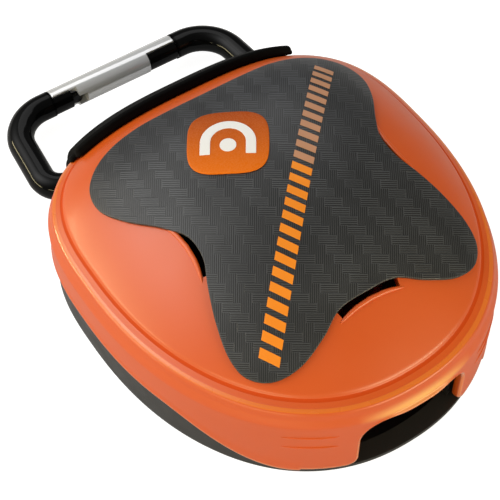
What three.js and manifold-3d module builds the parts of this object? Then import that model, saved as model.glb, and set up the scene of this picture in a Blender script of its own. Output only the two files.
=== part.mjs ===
// A mouthguard in a hinged carrying case with a carabiner. Millimetres, +Z up.
// The origin is on the flat underside of the base; the finger notch faces -Y, the hinge and carabiner +Y.
import * as THREE from "three";
import { mergeVertices } from "three/addons/utils/BufferGeometryUtils.js";
import Module from "manifold-3d";

const wasm = await Module();
wasm.setup();

// Plan outline of the case: an egg, blunt at the hinge end, worked out from its widest line at y = eggY.
const eggHalfWidth = 44.6;
const eggFront = 57.6;
const eggRear = 37.5;
const eggY = 10;
const frontPower = 2.2;
const rearPower = 2.9;
const planSteps = 60;
const nominalRadius = 50;

// Lid: a dome over a steep shoulder and a skirt.
const shoulderZ = 21.5;
const domeHeight = 21.4;
const domePower = 2.3;
const domeEase = 0.72;
const frontFall = 7;
const wall = 1.9;
const gap = 0.4;

// The parting line runs level at the sides and dips at both front corners.
const partingSideZ = 13;
const partingFrontZ = 4.6;
const dipStart = 27;
const dipEnd = 60;

// Base: rounded tray with a lip that stands inside the lid's skirt.
const baseInset = 0.5;
const baseFloor = 2;
const baseRound = 4.5;
const lipInset = 2.5;
const lipTopZ = 17;
const lipEndY = 18;
const lipThick = 1.5;
const lipFootZ = 3;

// Finger notch in the front of the skirt, and the low rim of the base behind it.
const notchHalf = 13;
const notchTopZ = 20.2;
const notchRadius = 4.5;
const rimZ = 4.2;

// Inlay on the lid, and the vent slots beside its waist.
const inlayGap = 0.3;
const inlayThick = 1.1;
const ventWidth = 1.5;
const ventInset = 0.8;
const sideVentY = -0.4;
const sideVentHalf = 7.4;
const sideVentRadius = 24;
const frontVentY = -28.6;
const frontVentHalf = 7.2;
const frontVentRadius = 30;
const inlayHalfOutline = [
  [0, -27.4], [7, -27.8], [12.5, -30.4], [19.5, -32.3], [25.2, -31.2], [28.8, -27.5], [29.6, -23],
  [28.4, -16.5], [26, -9.8], [23.9, -5], [23.8, 0.5], [26.4, 5.6], [31.2, 13.2], [33.6, 19.8],
  [32.7, 25.4], [29.6, 29], [24.8, 31.3], [18, 32.2], [9, 31.8], [0, 31.6],
];

// Badge on the inlay.
const badgeAt = [-5.4, 14.2];
const badgeRadius = 9;
const badgeThick = 0.5;

// Hinge: a leaf that wraps the rear of the lid, a pin, and two brackets on the base.
const hingeY = 50.6;
const hingeZ = 14.5;
const knuckleRadius = 2.6;
const pinRadius = 1.1;
const sideGap = 0.4;
const bracketInner = 12;
const bracketOuter = 22;
const leafFrontY = 38.4;
const leafHalf = 28.8;
const leafThick = 1.8;
const leafNarrowZ = 19.2;
const rivetX = 18;
const rivetZ = 21.6;
const rivetShank = 1;
const rivetBore = 1.3;
const rivetHead = 2;

// Carabiner: a flat loop of round bar in the plane z = linkZ, its spine held in the brackets.
const linkZ = 5.6;
const barRadius = 3.3;
const spineY = 51.3;
const gateY = 76.6;
const spineHalf = 31.7;
const gateHalfSpan = 29.4;
const spineCorner = 6;
const gateCorner = 8;
const sleeveHalf = 17.6;
const lapLength = 8;
const endGap = 0.5;
const springEnd = 6;
const lugRadius = 5.6;

// Mouthguard: an arch-shaped tray with a softer liner.
const archHalf = 25.5;
const archDepth = 40;
const archY = 20;
const archZ = 2.6;
const trayWidth = 12;
const trayHeight = 19;
const trayWall = 2.3;
const endDrop = 5;
const linerDrop = 3;
const linerThick = 2.3;
const biteHalf = 1.7;

const orange = { color: 0xd9551e, roughness: 0.3, metalness: 0 };
const blackPlastic = { color: 0x2c2c2e, roughness: 0.5, metalness: 0 };
const carbon = { color: 0x38383a, roughness: 0.42, metalness: 0 };
const blackEnamel = { color: 0x0b0b0c, roughness: 0.2, metalness: 0 };
const polished = { color: 0xdfe1e4, roughness: 0.12, metalness: 1 };
const steel = { color: 0x9a9ca0, roughness: 0.35, metalness: 1 };
const guardRubber = { color: 0x1d1f22, roughness: 0.6, metalness: 0 };
const gelRubber = { color: 0xd45a20, roughness: 0.45, metalness: 0 };

const object = new THREE.Group();

function toSolid(geometry) {
  const bare = geometry.index ? geometry.toNonIndexed() : geometry.clone();
  bare.deleteAttribute("normal");
  bare.deleteAttribute("uv");
  const merged = mergeVertices(bare, 1e-3);
  const vertProperties = merged.attributes.position.array;
  const triVerts = new Uint32Array(merged.index.array);
  return new wasm.Manifold(new wasm.Mesh({ numProp: 3, vertProperties, triVerts }));
}

function addNode(name, solid, finish, group = object) {
  const mesh = solid.getMesh();
  const geometry = new THREE.BufferGeometry();
  geometry.setAttribute("position", new THREE.BufferAttribute(mesh.vertProperties, 3));
  geometry.setIndex(new THREE.BufferAttribute(mesh.triVerts, 1));
  geometry.computeVertexNormals();
  const node = new THREE.Mesh(geometry, new THREE.MeshStandardMaterial(finish));
  node.name = name;
  group.add(node);
}

function join(...solids) {
  return solids.reduce((whole, next) => whole.add(next));
}

function cut(solid, ...tools) {
  return tools.reduce((left, tool) => left.subtract(tool), solid);
}

function box(x0, x1, y0, y1, z0, z1) {
  const geometry = new THREE.BoxGeometry(x1 - x0, y1 - y0, z1 - z0);
  return toSolid(geometry.translate((x0 + x1) / 2, (y0 + y1) / 2, (z0 + z1) / 2));
}

// A cylinder along X between x0 and x1.
function rodX(x0, x1, y, z, radius, sides = 24) {
  const geometry = new THREE.CylinderGeometry(radius, radius, x1 - x0, sides);
  return toSolid(geometry.rotateZ(Math.PI / 2).translate((x0 + x1) / 2, y, z));
}

// A cylinder along Z between z0 and z1.
function rodZ(x, y, z0, z1, radius, sides = 20) {
  const geometry = new THREE.CylinderGeometry(radius, radius, z1 - z0, sides);
  return toSolid(geometry.rotateX(Math.PI / 2).translate(x, y, (z0 + z1) / 2));
}

function smoothstep(t) {
  const k = Math.min(1, Math.max(0, t));
  return k * k * (3 - 2 * k);
}

// Distance from the egg's middle to its edge in the direction phi.
function eggRadius(phi) {
  const rear = Math.sin(phi) > 0;
  const power = rear ? rearPower : frontPower;
  const depth = rear ? eggRear : eggFront;
  const across = Math.abs(Math.cos(phi) / eggHalfWidth) ** power;
  const along = Math.abs(Math.sin(phi) / depth) ** power;
  return (across + along) ** (-1 / power);
}

// Height of the parting line in the direction phi.
function partingZ(phi) {
  const fromFront = Math.abs((Math.atan2(Math.cos(phi), -Math.sin(phi)) * 180) / Math.PI);
  const rise = smoothstep((fromFront - dipStart) / (dipEnd - dipStart));
  return partingFrontZ + (partingSideZ - partingFrontZ) * rise;
}

// Turns a profile of [radius, z] round the Z axis on the nominal circle.
function turned(profile) {
  const points = profile.map(([radius, z]) => new THREE.Vector2(radius, z));
  return new THREE.LatheGeometry(points, planSteps).rotateX(Math.PI / 2);
}

// Stretches a shape turned on the nominal circle to the egg, and sets each height by heightAt(phi, u, z).
function toEgg(geometry, heightAt = (phi, u, z) => z) {
  const position = geometry.attributes.position;
  for (let i = 0; i < position.count; i++) {
    const [x, y, z] = [position.getX(i), position.getY(i), position.getZ(i)];
    const phi = Math.atan2(y, x);
    const stretch = eggRadius(phi) / nominalRadius;
    const u = Math.hypot(x, y) / nominalRadius;
    position.setXYZ(i, x * stretch, y * stretch + eggY, heightAt(phi, u, z));
  }
  return toSolid(geometry);
}

// The front of the dome lies lower than its rear by this much.
function fallAt(phi, u) {
  const s = (Math.max(0, -Math.sin(phi)) * u * eggRadius(phi)) / eggFront;
  return frontFall * s * s * (1 - Math.min(1, u) ** 4);
}

function domeZ(u) {
  return shoulderZ + domeHeight * Math.max(0, 1 - u ** domePower) ** domeEase;
}

// Height of the lid's outer surface over a point of the plan.
function lidZ(x, y) {
  const phi = Math.atan2(y - eggY, x);
  const u = Math.hypot(x, y - eggY) / eggRadius(phi);
  return domeZ(u) - fallAt(phi, u);
}

const domeSteps = [0.2, 0.4, 0.57, 0.71, 0.82, 0.9, 0.955, 0.985];

// Profile of the lid's surface moved outwards by offset, from the apex down to z = bottom.
function lidProfile(offset, bottom) {
  const reach = nominalRadius + offset;
  const dome = domeSteps.map((u) => [u * reach, domeZ(u) + offset]);
  const wallTop = [reach, shoulderZ + offset * 0.3];
  return [[0, domeZ(0) + offset], ...dome, wallTop, [reach - 0.2, bottom]];
}

// A closed shell between two offsets of the lid's surface, open below.
function lidShell(outer, inner, bottom) {
  const profile = [...lidProfile(outer, bottom), ...lidProfile(inner, bottom).reverse()];
  return toEgg(turned(profile.reverse()), (phi, u, z) => z - fallAt(phi, u));
}

// Everything below the parting surface, moved up by lift.
function belowParting(lift) {
  const reach = nominalRadius * 1.3;
  const profile = [[0, -20], [reach, -20], [reach, 20], [nominalRadius * 0.5, 20], [0, 20]];
  return toEgg(turned(profile), (phi, u, z) => (z < 0 ? z : (u < 0.1 ? 10 : partingZ(phi)) + lift));
}

// A closed outline in plan, extruded from z0 to z1.
function plate(shape, z0, z1, curveSegments = 6) {
  const options = { depth: z1 - z0, bevelEnabled: false, curveSegments };
  return toSolid(new THREE.ExtrudeGeometry(shape, options).translate(0, 0, z0));
}

// A smooth closed outline through points given for x >= 0 and mirrored.
function mirroredOutline(half, steps) {
  const right = half.map(([x, y]) => new THREE.Vector3(x, y, 0));
  const left = right.slice(1, -1).reverse().map((p) => new THREE.Vector3(-p.x, p.y, 0));
  const curve = new THREE.CatmullRomCurve3([...right, ...left], true, "centripetal");
  return new THREE.Shape(curve.getPoints(steps).slice(0, -1).map((p) => new THREE.Vector2(p.x, p.y)));
}

function roundedBox(halfWidth, z0, z1, radius, y0, y1) {
  const shape = new THREE.Shape();
  shape.moveTo(-halfWidth, z0);
  shape.lineTo(halfWidth, z0);
  shape.lineTo(halfWidth, z1 - radius);
  shape.absarc(halfWidth - radius, z1 - radius, radius, 0, Math.PI / 2);
  shape.lineTo(-halfWidth + radius, z1);
  shape.absarc(-halfWidth + radius, z1 - radius, radius, Math.PI / 2, Math.PI);
  const options = { depth: y1 - y0, bevelEnabled: false, curveSegments: 6 };
  return toSolid(new THREE.ExtrudeGeometry(shape, options).rotateX(Math.PI / 2).translate(0, y1, 0));
}

// A slot through the lid: a short bar of the given width, bent to radius.
function arcSlot(cx, cy, radius, middle, half, width) {
  const shape = new THREE.Shape();
  shape.absarc(cx, cy, radius + width / 2, middle - half, middle + half, false);
  shape.absarc(cx, cy, radius - width / 2, middle + half, middle - half, true);
  return plate(shape, 15, 50);
}

const waistX = 23.8;
const sideVentX = waistX + ventInset + ventWidth / 2 + sideVentRadius;
const sideVentSpan = sideVentHalf / sideVentRadius;
const frontVentSpan = frontVentHalf / frontVentRadius;
const vents = [
  arcSlot(-sideVentX, sideVentY, sideVentRadius, 0, sideVentSpan, ventWidth),
  arcSlot(sideVentX, sideVentY, sideVentRadius, Math.PI, sideVentSpan, ventWidth),
  arcSlot(0, frontVentY - frontVentRadius, frontVentRadius, Math.PI / 2, frontVentSpan, ventWidth),
];

function makeLid() {
  const shell = lidShell(0, -wall, -6);
  const notch = roundedBox(notchHalf, -8, notchTopZ, notchRadius, -60, -36);
  const leafRivets = [-rivetX, rivetX].map((x) => rodY(x, 40, 52, rivetZ, rivetBore));
  return cut(shell, belowParting(0), notch, ...vents, ...leafRivets);
}

// A cylinder along Y between y0 and y1.
function rodY(x, y0, y1, z, radius, sides = 16) {
  const geometry = new THREE.CylinderGeometry(radius, radius, y1 - y0, sides);
  return toSolid(geometry.translate(x, (y0 + y1) / 2, z));
}

function makeInlay(outline) {
  const skin = lidShell(inlayGap + inlayThick, inlayGap, 0);
  return skin.intersect(plate(outline, 10, 60));
}

function makeBadge() {
  const skin = lidShell(2 * inlayGap + inlayThick + badgeThick, 2 * inlayGap + inlayThick, 0);
  const shape = new THREE.Shape();
  shape.absarc(badgeAt[0], badgeAt[1], badgeRadius, 0, 2 * Math.PI);
  return skin.intersect(plate(shape, 30, 60, 16));
}

function makeBase() {
  const r = nominalRadius - baseInset;
  const corner = [0, 30, 60, 90].map((degrees) => {
    const t = (degrees * Math.PI) / 180;
    return [r - baseRound + baseRound * Math.sin(t), baseRound * (1 - Math.cos(t))];
  });
  const inner = r - wall;
  const tray = [
    [0, 0], ...corner, [r, 16], [inner, 16], [inner, baseRound + 1],
    [inner - 1, baseFloor + 0.8], [inner - 2.6, baseFloor], [0, baseFloor],
  ];
  const bowl = toEgg(turned(tray)).intersect(belowParting(-gap));
  const lipOuter = nominalRadius - lipInset;
  const lipInner = lipOuter - lipThick;
  const lipProfile = [[lipInner, lipFootZ], [lipOuter, lipFootZ], [lipOuter, lipTopZ], [lipInner, lipTopZ]];
  const ring = toEgg(turned([...lipProfile, lipProfile[0]]));
  const lip = ring.intersect(box(-50, 50, -60, lipEndY, 0, 30));
  const notch = box(-notchHalf + sideGap, notchHalf - sideGap, -60, -38, rimZ, 30);
  const brackets = [-1, 1].map((side) => {
    const [x0, x1] = side < 0 ? [-bracketOuter, -bracketInner] : [bracketInner, bracketOuter];
    const lug = rodX(x0, x1, spineY, linkZ, lugRadius, 28);
    const web = box(x0, x1, 45.8, spineY + 2, 4, partingSideZ - gap - 0.2);
    const knuckle = rodX(x0, x1, hingeY, hingeZ, knuckleRadius);
    return join(lug, web, knuckle);
  });
  const solid = join(cut(join(bowl, lip), notch), ...brackets);
  const spineBore = rodX(-40, 40, spineY, linkZ, barRadius + gap, 28);
  const pinBore = rodX(-40, 40, hingeY, hingeZ, pinRadius + 0.15, 20);
  return cut(solid, spineBore, pinBore, trayCavity());
}

// The room inside the tray, which clears the parts of the brackets that reach through the rear wall.
function trayCavity() {
  const inner = nominalRadius - baseInset - wall - 0.05;
  const foot = [[0, baseFloor], [inner - 2.7, baseFloor], [inner - 1, baseFloor + 0.9]];
  const profile = [...foot, [inner, baseRound + 2], [inner, 40], [0, 40]];
  const room = toEgg(turned(profile));
  return room.intersect(box(-30, 30, 25, 60, 0, 50));
}

function makeLeaf() {
  const skin = lidShell(inlayGap + leafThick, inlayGap, 6);
  const flange = plate(roundedRectShape(-leafHalf, leafHalf, leafFrontY, 60, 1.4), leafNarrowZ, 60);
  const tongueHalf = bracketInner - sideGap;
  const tongue = box(-tongueHalf, tongueHalf, leafFrontY + 4, 60, hingeZ, 60);
  const knuckle = rodX(-tongueHalf, tongueHalf, hingeY, hingeZ, knuckleRadius);
  const holes = [-rivetX, rivetX].map((x) => rodY(x, 40, 60, rivetZ, rivetBore));
  const plateBody = join(skin.intersect(join(flange, tongue)), knuckle);
  return cut(plateBody, rodX(-40, 40, hingeY, hingeZ, pinRadius + 0.3, 20), ...holes);
}

function roundedRectShape(x0, x1, y0, y1, r) {
  const shape = new THREE.Shape();
  shape.absarc(x1 - r, y0 + r, r, -Math.PI / 2, 0);
  shape.absarc(x1 - r, y1 - r, r, 0, Math.PI / 2);
  shape.absarc(x0 + r, y1 - r, r, Math.PI / 2, Math.PI);
  shape.absarc(x0 + r, y0 + r, r, Math.PI, 1.5 * Math.PI);
  return shape;
}

// Wall surface of the lid at the rear, straight behind x.
function rearWallY(x) {
  return eggY + eggRear * (1 - Math.abs(x / eggHalfWidth) ** rearPower) ** (1 / rearPower);
}

function makeRivet(x) {
  const back = rearWallY(x) + inlayGap + leafThick;
  const inside = back - 6.2;
  const shank = rodY(x, inside, back + 0.5, rivetZ, rivetShank);
  const outerHead = rodY(x, back + 0.3, back + 1.2, rivetZ, rivetHead);
  const innerHead = rodY(x, inside - 0.6, inside + 0.6, rivetZ, rivetHead);
  return join(shank, outerHead, innerHead);
}

// The carabiner's loop as a path in plan, from the gate's pivot end round to its latch end.
function linkPath() {
  const path = new THREE.CurvePath();
  const line = (a, b) => path.add(new THREE.LineCurve3(a, b));
  const at = (x, y) => new THREE.Vector3(x, y, linkZ);
  const bend = (a, c, b) => path.add(new THREE.QuadraticBezierCurve3(a, c, b));
  const lean = (spineHalf - gateHalfSpan) / (gateY - spineY);
  const armX = (y) => spineHalf - lean * (y - spineY);
  const nearGateY = gateY - gateCorner;
  const nearSpineY = spineY + spineCorner;
  const corner = (side) => ({
    gate: at(side * (gateHalfSpan - gateCorner), gateY),
    gateCorner: at(side * gateHalfSpan, gateY),
    gateArm: at(side * armX(nearGateY), nearGateY),
    spineArm: at(side * armX(nearSpineY), nearSpineY),
    spineCorner: at(side * spineHalf, spineY),
    spine: at(side * (spineHalf - spineCorner), spineY),
  });
  const left = corner(-1);
  const right = corner(1);
  line(at(-sleeveHalf - endGap, gateY), left.gate);
  bend(left.gate, left.gateCorner, left.gateArm);
  line(left.gateArm, left.spineArm);
  bend(left.spineArm, left.spineCorner, left.spine);
  line(left.spine, right.spine);
  bend(right.spine, right.spineCorner, right.spineArm);
  line(right.spineArm, right.gateArm);
  bend(right.gateArm, right.gateCorner, right.gate);
  line(right.gate, at(sleeveHalf + endGap, gateY));
  return path;
}

function barAlong(path, radius, steps) {
  const section = new THREE.Shape();
  section.absarc(0, 0, radius, 0, 2 * Math.PI);
  const options = { extrudePath: path, steps, curveSegments: 5, bevelEnabled: false };
  return toSolid(new THREE.ExtrudeGeometry(section, options));
}

// The gate turns on a pin through a flat eye of the frame, which lies in a slot in the gate's end.
const pivotX = -sleeveHalf + 6.2;
const eyeRadius = 2.2;
const eyeHalfThick = 1.2;
const lapY = gateY - 1.2;
const lapEndX = pivotX - 1.4;
const lapRadius = barRadius - 0.2;
const faceGap = 0.3;

function makeLinkFrame() {
  const bar = barAlong(linkPath(), barRadius, 60);
  const x0 = -sleeveHalf - 2;
  const tongue = rodX(x0, lapEndX, gateY, linkZ, lapRadius, 14);
  const lap = tongue.intersect(box(-40, 0, gateY - 9, lapY, 0, 20));
  const eye = rodZ(pivotX, gateY, linkZ - eyeHalfThick, linkZ + eyeHalfThick, eyeRadius, 24);
  const web = box(x0, pivotX, gateY - eyeRadius, gateY + 1.6, linkZ - eyeHalfThick, linkZ + eyeHalfThick);
  return cut(join(bar, lap, eye, web), rodZ(pivotX, gateY, -5, 20, pinRadius));
}

function makeGate() {
  const x0 = -sleeveHalf - 1;
  const x1 = sleeveHalf + 1;
  const lapCutY = lapY + faceGap;
  const sleeve = rodX(-sleeveHalf, sleeveHalf, gateY, linkZ, barRadius, 28);
  const hingeLap = box(x0, pivotX + 0.8, gateY - 9, lapCutY, -5, 20);
  const slotHalf = eyeHalfThick + faceGap;
  const slotEndX = pivotX + eyeRadius + 0.4;
  const slot = box(x0, slotEndX, gateY - 9, gateY + 2.5, linkZ - slotHalf, linkZ + slotHalf);
  const latchLap = box(sleeveHalf - lapLength - faceGap, x1, gateY - 9, lapCutY, -5, 20);
  const springBore = rodX(pivotX + eyeRadius, springEnd + faceGap, gateY, linkZ, 1.5, 16);
  const pinHoles = rodZ(pivotX, gateY, -5, 20, pinRadius);
  return cut(sleeve, hingeLap, slot, latchLap, springBore, pinHoles);
}

function makeLatchTip() {
  const tip = rodX(sleeveHalf - lapLength, sleeveHalf - 0.2, gateY, linkZ, lapRadius, 14);
  return tip.intersect(box(0, 40, gateY - 9, lapY, -5, 20));
}

// The arch of the mouthguard: half an ellipse carried straight back to its two ends.
function archShape(grow) {
  const shape = new THREE.Shape();
  const outer = [archHalf + grow, archDepth + grow];
  const inner = [archHalf - grow, archDepth - grow];
  shape.absellipse(0, archY, outer[0], outer[1], Math.PI, 2 * Math.PI, false);
  shape.absellipse(0, archY, inner[0], inner[1], 2 * Math.PI, Math.PI, true);
  return shape;
}

function makeGuardTray() {
  const body = plate(archShape(trayWidth / 2), archZ, archZ + trayHeight, 11);
  const channel = plate(archShape(trayWidth / 2 - trayWall), archZ + trayWall, archZ + trayHeight + 1, 11);
  const endRelief = box(-60, 60, archY - 14, archY + 10, archZ + trayHeight - endDrop, 60);
  return cut(body, channel, endRelief);
}

function makeGuardLiner() {
  const floorZ = archZ + trayWall + faceGap;
  const half = trayWidth / 2 - trayWall - faceGap;
  const fill = plate(archShape(half), floorZ, archZ + trayHeight - linerDrop, 11);
  const bite = plate(archShape(biteHalf), floorZ + linerThick, archZ + trayHeight, 11);
  const endRelief = box(-60, 60, archY - 14, archY + 10, archZ + trayHeight - endDrop - 2, 60);
  return cut(fill, bite, endRelief);
}

function makePlunger() {
  const x0 = pivotX + eyeRadius + 0.4;
  return rodX(x0, x0 + 2, gateY, linkZ, 1.2, 14);
}

function makeSpring() {
  const turns = 6;
  const x0 = pivotX + eyeRadius + 2.9;
  const coil = new THREE.Curve();
  coil.getPoint = (t, target = new THREE.Vector3()) => {
    const angle = 2 * Math.PI * turns * t;
    const x = x0 + (springEnd - 0.3 - x0) * t;
    return target.set(x, gateY + 0.95 * Math.cos(angle), linkZ + 0.95 * Math.sin(angle));
  };
  const section = new THREE.Shape();
  section.absarc(0, 0, 0.22, 0, 2 * Math.PI);
  const options = { extrudePath: coil, steps: turns * 8, curveSegments: 2, bevelEnabled: false };
  return toSolid(new THREE.ExtrudeGeometry(section, options));
}

const outline = mirroredOutline(inlayHalfOutline, 76);
addNode("base_tray", makeBase(), blackPlastic);
addNode("lid_shell", makeLid(), orange);
addNode("carbon_inlay", makeInlay(outline), carbon);
addNode("inlay_badge", makeBadge(), orange);
addNode("hinge_leaf", makeLeaf(), blackPlastic);
addNode("hinge_pin", rodX(-bracketOuter, bracketOuter, hingeY, hingeZ, pinRadius - 0.1, 18), steel);
addNode("leaf_rivet_left", makeRivet(-rivetX), steel);
addNode("leaf_rivet_right", makeRivet(rivetX), steel);
addNode("carabiner_frame", makeLinkFrame(), blackEnamel);
addNode("gate_sleeve", makeGate(), polished);
addNode("gate_latch_tip", makeLatchTip(), blackEnamel);
addNode("gate_rivet", rodZ(pivotX, gateY, linkZ - 2.6, linkZ + 2.6, pinRadius - 0.3), steel);
addNode("gate_spring", makeSpring(), steel);
addNode("gate_plunger", makePlunger(), steel);
addNode("mouthguard_tray", makeGuardTray(), guardRubber);
addNode("mouthguard_liner", makeGuardLiner(), gelRubber);

export default object;
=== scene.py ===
from math import atan2, copysign, cos, degrees, exp, hypot, pi, radians, sin, sqrt

import bmesh
import bpy
from mathutils import Matrix, Vector


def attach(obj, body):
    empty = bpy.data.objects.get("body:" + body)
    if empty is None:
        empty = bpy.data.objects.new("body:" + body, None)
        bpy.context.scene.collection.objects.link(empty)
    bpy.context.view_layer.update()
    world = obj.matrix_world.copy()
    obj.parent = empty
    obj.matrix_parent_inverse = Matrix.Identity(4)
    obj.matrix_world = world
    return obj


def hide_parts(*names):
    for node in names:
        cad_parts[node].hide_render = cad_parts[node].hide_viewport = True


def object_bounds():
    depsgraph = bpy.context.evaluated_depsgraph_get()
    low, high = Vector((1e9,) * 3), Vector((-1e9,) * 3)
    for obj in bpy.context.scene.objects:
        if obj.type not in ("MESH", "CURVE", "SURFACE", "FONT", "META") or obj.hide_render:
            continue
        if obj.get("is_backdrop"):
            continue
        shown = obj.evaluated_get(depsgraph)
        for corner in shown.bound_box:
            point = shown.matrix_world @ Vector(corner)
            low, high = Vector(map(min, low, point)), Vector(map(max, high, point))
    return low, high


# A hinged mouthguard case with a carabiner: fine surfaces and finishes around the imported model.
# Everything is modelled in millimetres and turned into metres when a piece is finished.
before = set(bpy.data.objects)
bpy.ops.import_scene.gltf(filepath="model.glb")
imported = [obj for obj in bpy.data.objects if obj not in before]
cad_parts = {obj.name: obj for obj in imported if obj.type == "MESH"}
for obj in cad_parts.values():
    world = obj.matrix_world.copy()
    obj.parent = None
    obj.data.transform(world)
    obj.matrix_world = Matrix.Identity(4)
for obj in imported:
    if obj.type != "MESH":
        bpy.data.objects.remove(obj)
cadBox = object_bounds()
toMetres = Matrix.Scale(0.001, 4)
print("frame loaded with", len(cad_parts), "nodes")

caseShape = {
    "halfWidth": 44.6, "front": 57.6, "rear": 37.5, "middleY": 10.0,
    "frontPower": 2.2, "rearPower": 2.9,
    "shoulderZ": 21.5, "domeHeight": 21.4, "domePower": 2.3, "domeEase": 0.72, "frontFall": 7.0,
    "partingSideZ": 13.0, "partingFrontZ": 4.6, "dipStart": 27.0, "dipEnd": 60.0,
    "turnRadius": 50.0, "turnSteps": 560, "frontDensity": 0.6,
}


def smoothstep(t):
    k = min(1.0, max(0.0, t))
    return k * k * (3 - 2 * k)


# Distance from the egg's middle to its edge in the direction phi.
def eggRadius(phi):
    s = caseShape
    rear = sin(phi) > 0
    power = s["rearPower"] if rear else s["frontPower"]
    depth = s["rear"] if rear else s["front"]
    across = abs(cos(phi) / s["halfWidth"]) ** power
    along = abs(sin(phi) / depth) ** power
    return (across + along) ** (-1 / power)


def fromFront(phi):
    return atan2(cos(phi), -sin(phi))


def partingZ(phi):
    s = caseShape
    away = abs(degrees(fromFront(phi)))
    rise = smoothstep((away - s["dipStart"]) / (s["dipEnd"] - s["dipStart"]))
    return s["partingFrontZ"] + (s["partingSideZ"] - s["partingFrontZ"]) * rise


def domeZ(u):
    s = caseShape
    return s["shoulderZ"] + s["domeHeight"] * max(0.0, 1 - u ** s["domePower"]) ** s["domeEase"]


def fallAt(phi, u):
    s = caseShape
    ahead = max(0.0, -sin(phi)) * u * eggRadius(phi) / s["front"]
    return s["frontFall"] * ahead ** 2 * (1 - min(1.0, u) ** 4)


# Height of the lid's outer surface over a point of the plan.
def lidZ(x, y):
    phi = atan2(y - caseShape["middleY"], x)
    u = hypot(x, y - caseShape["middleY"]) / eggRadius(phi)
    return domeZ(u) - fallAt(phi, u)


# The point over (x, y) at a height above the lid's surface, measured along its normal.
def onLid(x, y, height):
    step = 0.05
    slopeX = (lidZ(x + step, y) - lidZ(x - step, y)) / (2 * step)
    slopeY = (lidZ(x, y + step) - lidZ(x, y - step)) / (2 * step)
    normal = Vector((-slopeX, -slopeY, 1)).normalized()
    return Vector((x, y, lidZ(x, y))) + normal * height


# The front and rear walls of the case at x.
def frontWallY(x):
    s = caseShape
    across = abs(x / s["halfWidth"]) ** s["frontPower"]
    return s["middleY"] - s["front"] * (1 - across) ** (1 / s["frontPower"])


def rearWallY(x):
    s = caseShape
    across = abs(x / s["halfWidth"]) ** s["rearPower"]
    return s["middleY"] + s["rear"] * (1 - across) ** (1 / s["rearPower"])


# Turns a profile of (radius, z) round the Z axis into a closed shape.
def turned(profile, steps):
    bm = bmesh.new()
    verts = [bm.verts.new((radius, 0, z)) for radius, z in profile]
    edges = [bm.edges.new(pair) for pair in zip(verts, verts[1:])]
    bmesh.ops.spin(
        bm, geom=verts + edges, cent=(0, 0, 0), axis=(0, 0, 1), angle=2 * pi,
        steps=steps, use_merge=True, use_duplicate=False,
    )
    bmesh.ops.remove_doubles(bm, verts=bm.verts, dist=0.0005)
    return bm


# A turned shape's direction from the front, with its columns drawn closer together at the front.
def columnFromFront(co):
    psi = atan2(co.x, -co.y)
    return psi - caseShape["frontDensity"] * sin(psi)


def meshFrom(bm, name):
    bmesh.ops.remove_doubles(bm, verts=bm.verts, dist=0.0005)
    bmesh.ops.recalc_face_normals(bm, faces=bm.faces)
    mesh = bpy.data.meshes.new(name)
    bm.to_mesh(mesh)
    bm.free()
    return mesh


def showObject(name, data):
    shown = bpy.data.objects.new(name, data)
    bpy.context.scene.collection.objects.link(shown)
    return shown


def pieceFrom(bm, name):
    return showObject(name, meshFrom(bm, name))


# The parts in one shape, added to a first mesh where there is one.
def joined(parts, first=None):
    whole = bmesh.new()
    if first:
        whole.from_mesh(first)
    for bm in parts:
        whole.from_mesh(meshFrom(bm, "part"))
    return whole


# The object's mesh with its modifiers applied.
def evaluatedMesh(thing):
    bpy.context.view_layer.update()
    shown = thing.evaluated_get(bpy.context.evaluated_depsgraph_get())
    return bpy.data.meshes.new_from_object(shown)


def settle(piece):
    mesh = evaluatedMesh(piece)
    old = piece.data
    piece.modifiers.clear()
    piece.data = mesh
    bpy.data.meshes.remove(old)


# Cuts a shape from the piece, or joins it on.
def carve(piece, shape, operation="DIFFERENCE"):
    tool = pieceFrom(shape, "tool")
    modifier = piece.modifiers.new(operation.lower(), "BOOLEAN")
    modifier.operation = operation
    modifier.solver = "EXACT"
    modifier.object = tool
    settle(piece)
    bpy.data.objects.remove(tool)


# Scales a piece modelled in millimetres, smooths its shading and hangs it on its body.
def finishPiece(piece, body, nodes, materials, sharpAngle=40):
    mesh = piece.data
    mesh.transform(toMetres)
    if not mesh.materials:
        for material in materials:
            mesh.materials.append(material)
    for face in mesh.polygons:
        face.use_smooth = True
    mesh.set_sharp_from_angle(angle=radians(sharpAngle))
    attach(piece, body)
    if nodes:
        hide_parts(*nodes)


def everyPart(bm):
    return bm.verts[:] + bm.edges[:] + bm.faces[:]


def roundOff(bm, geom, offset, segments=4, affect="EDGES"):
    bmesh.ops.bevel(
        bm, geom=geom, offset=offset, segments=segments, profile=0.5, affect=affect, material=-1,
    )


# The edges round a rod's flat ends.
def rimEdges(bm):
    return [edge for edge in bm.edges if any(len(face.verts) > 4 for face in edge.link_faces)]


# The turn that points an axis of a thing in the direction.
def pointing(direction, axis="Z"):
    return direction.to_track_quat(axis, "Y").to_matrix().to_4x4()


# A box from low to high with rounded edges, cut across so that it can be bent.
def softBox(low, high, rounding, segments=3, cuts=((0, 1.0),)):
    bm = bmesh.new()
    bmesh.ops.create_cube(bm, size=1)
    size = [b - a for a, b in zip(low, high)]
    middle = [(a + b) / 2 for a, b in zip(low, high)]
    bmesh.ops.scale(bm, vec=size, verts=bm.verts)
    bmesh.ops.translate(bm, vec=middle, verts=bm.verts)
    if rounding:
        roundOff(bm, bm.edges[:], rounding, segments)
    for axis, pitch in cuts:
        count = max(1, round(size[axis] / pitch))
        normal = [1.0 if axis == i else 0.0 for i in range(3)]
        for k in range(1, count):
            place = [0.0, 0.0, 0.0]
            place[axis] = low[axis] + size[axis] * k / count
            bmesh.ops.bisect_plane(bm, geom=everyPart(bm), plane_co=place, plane_no=normal)
    return bm


def bend(bm, place):
    for vert in bm.verts:
        vert.co = place(vert.co.copy())
    return bm


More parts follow.
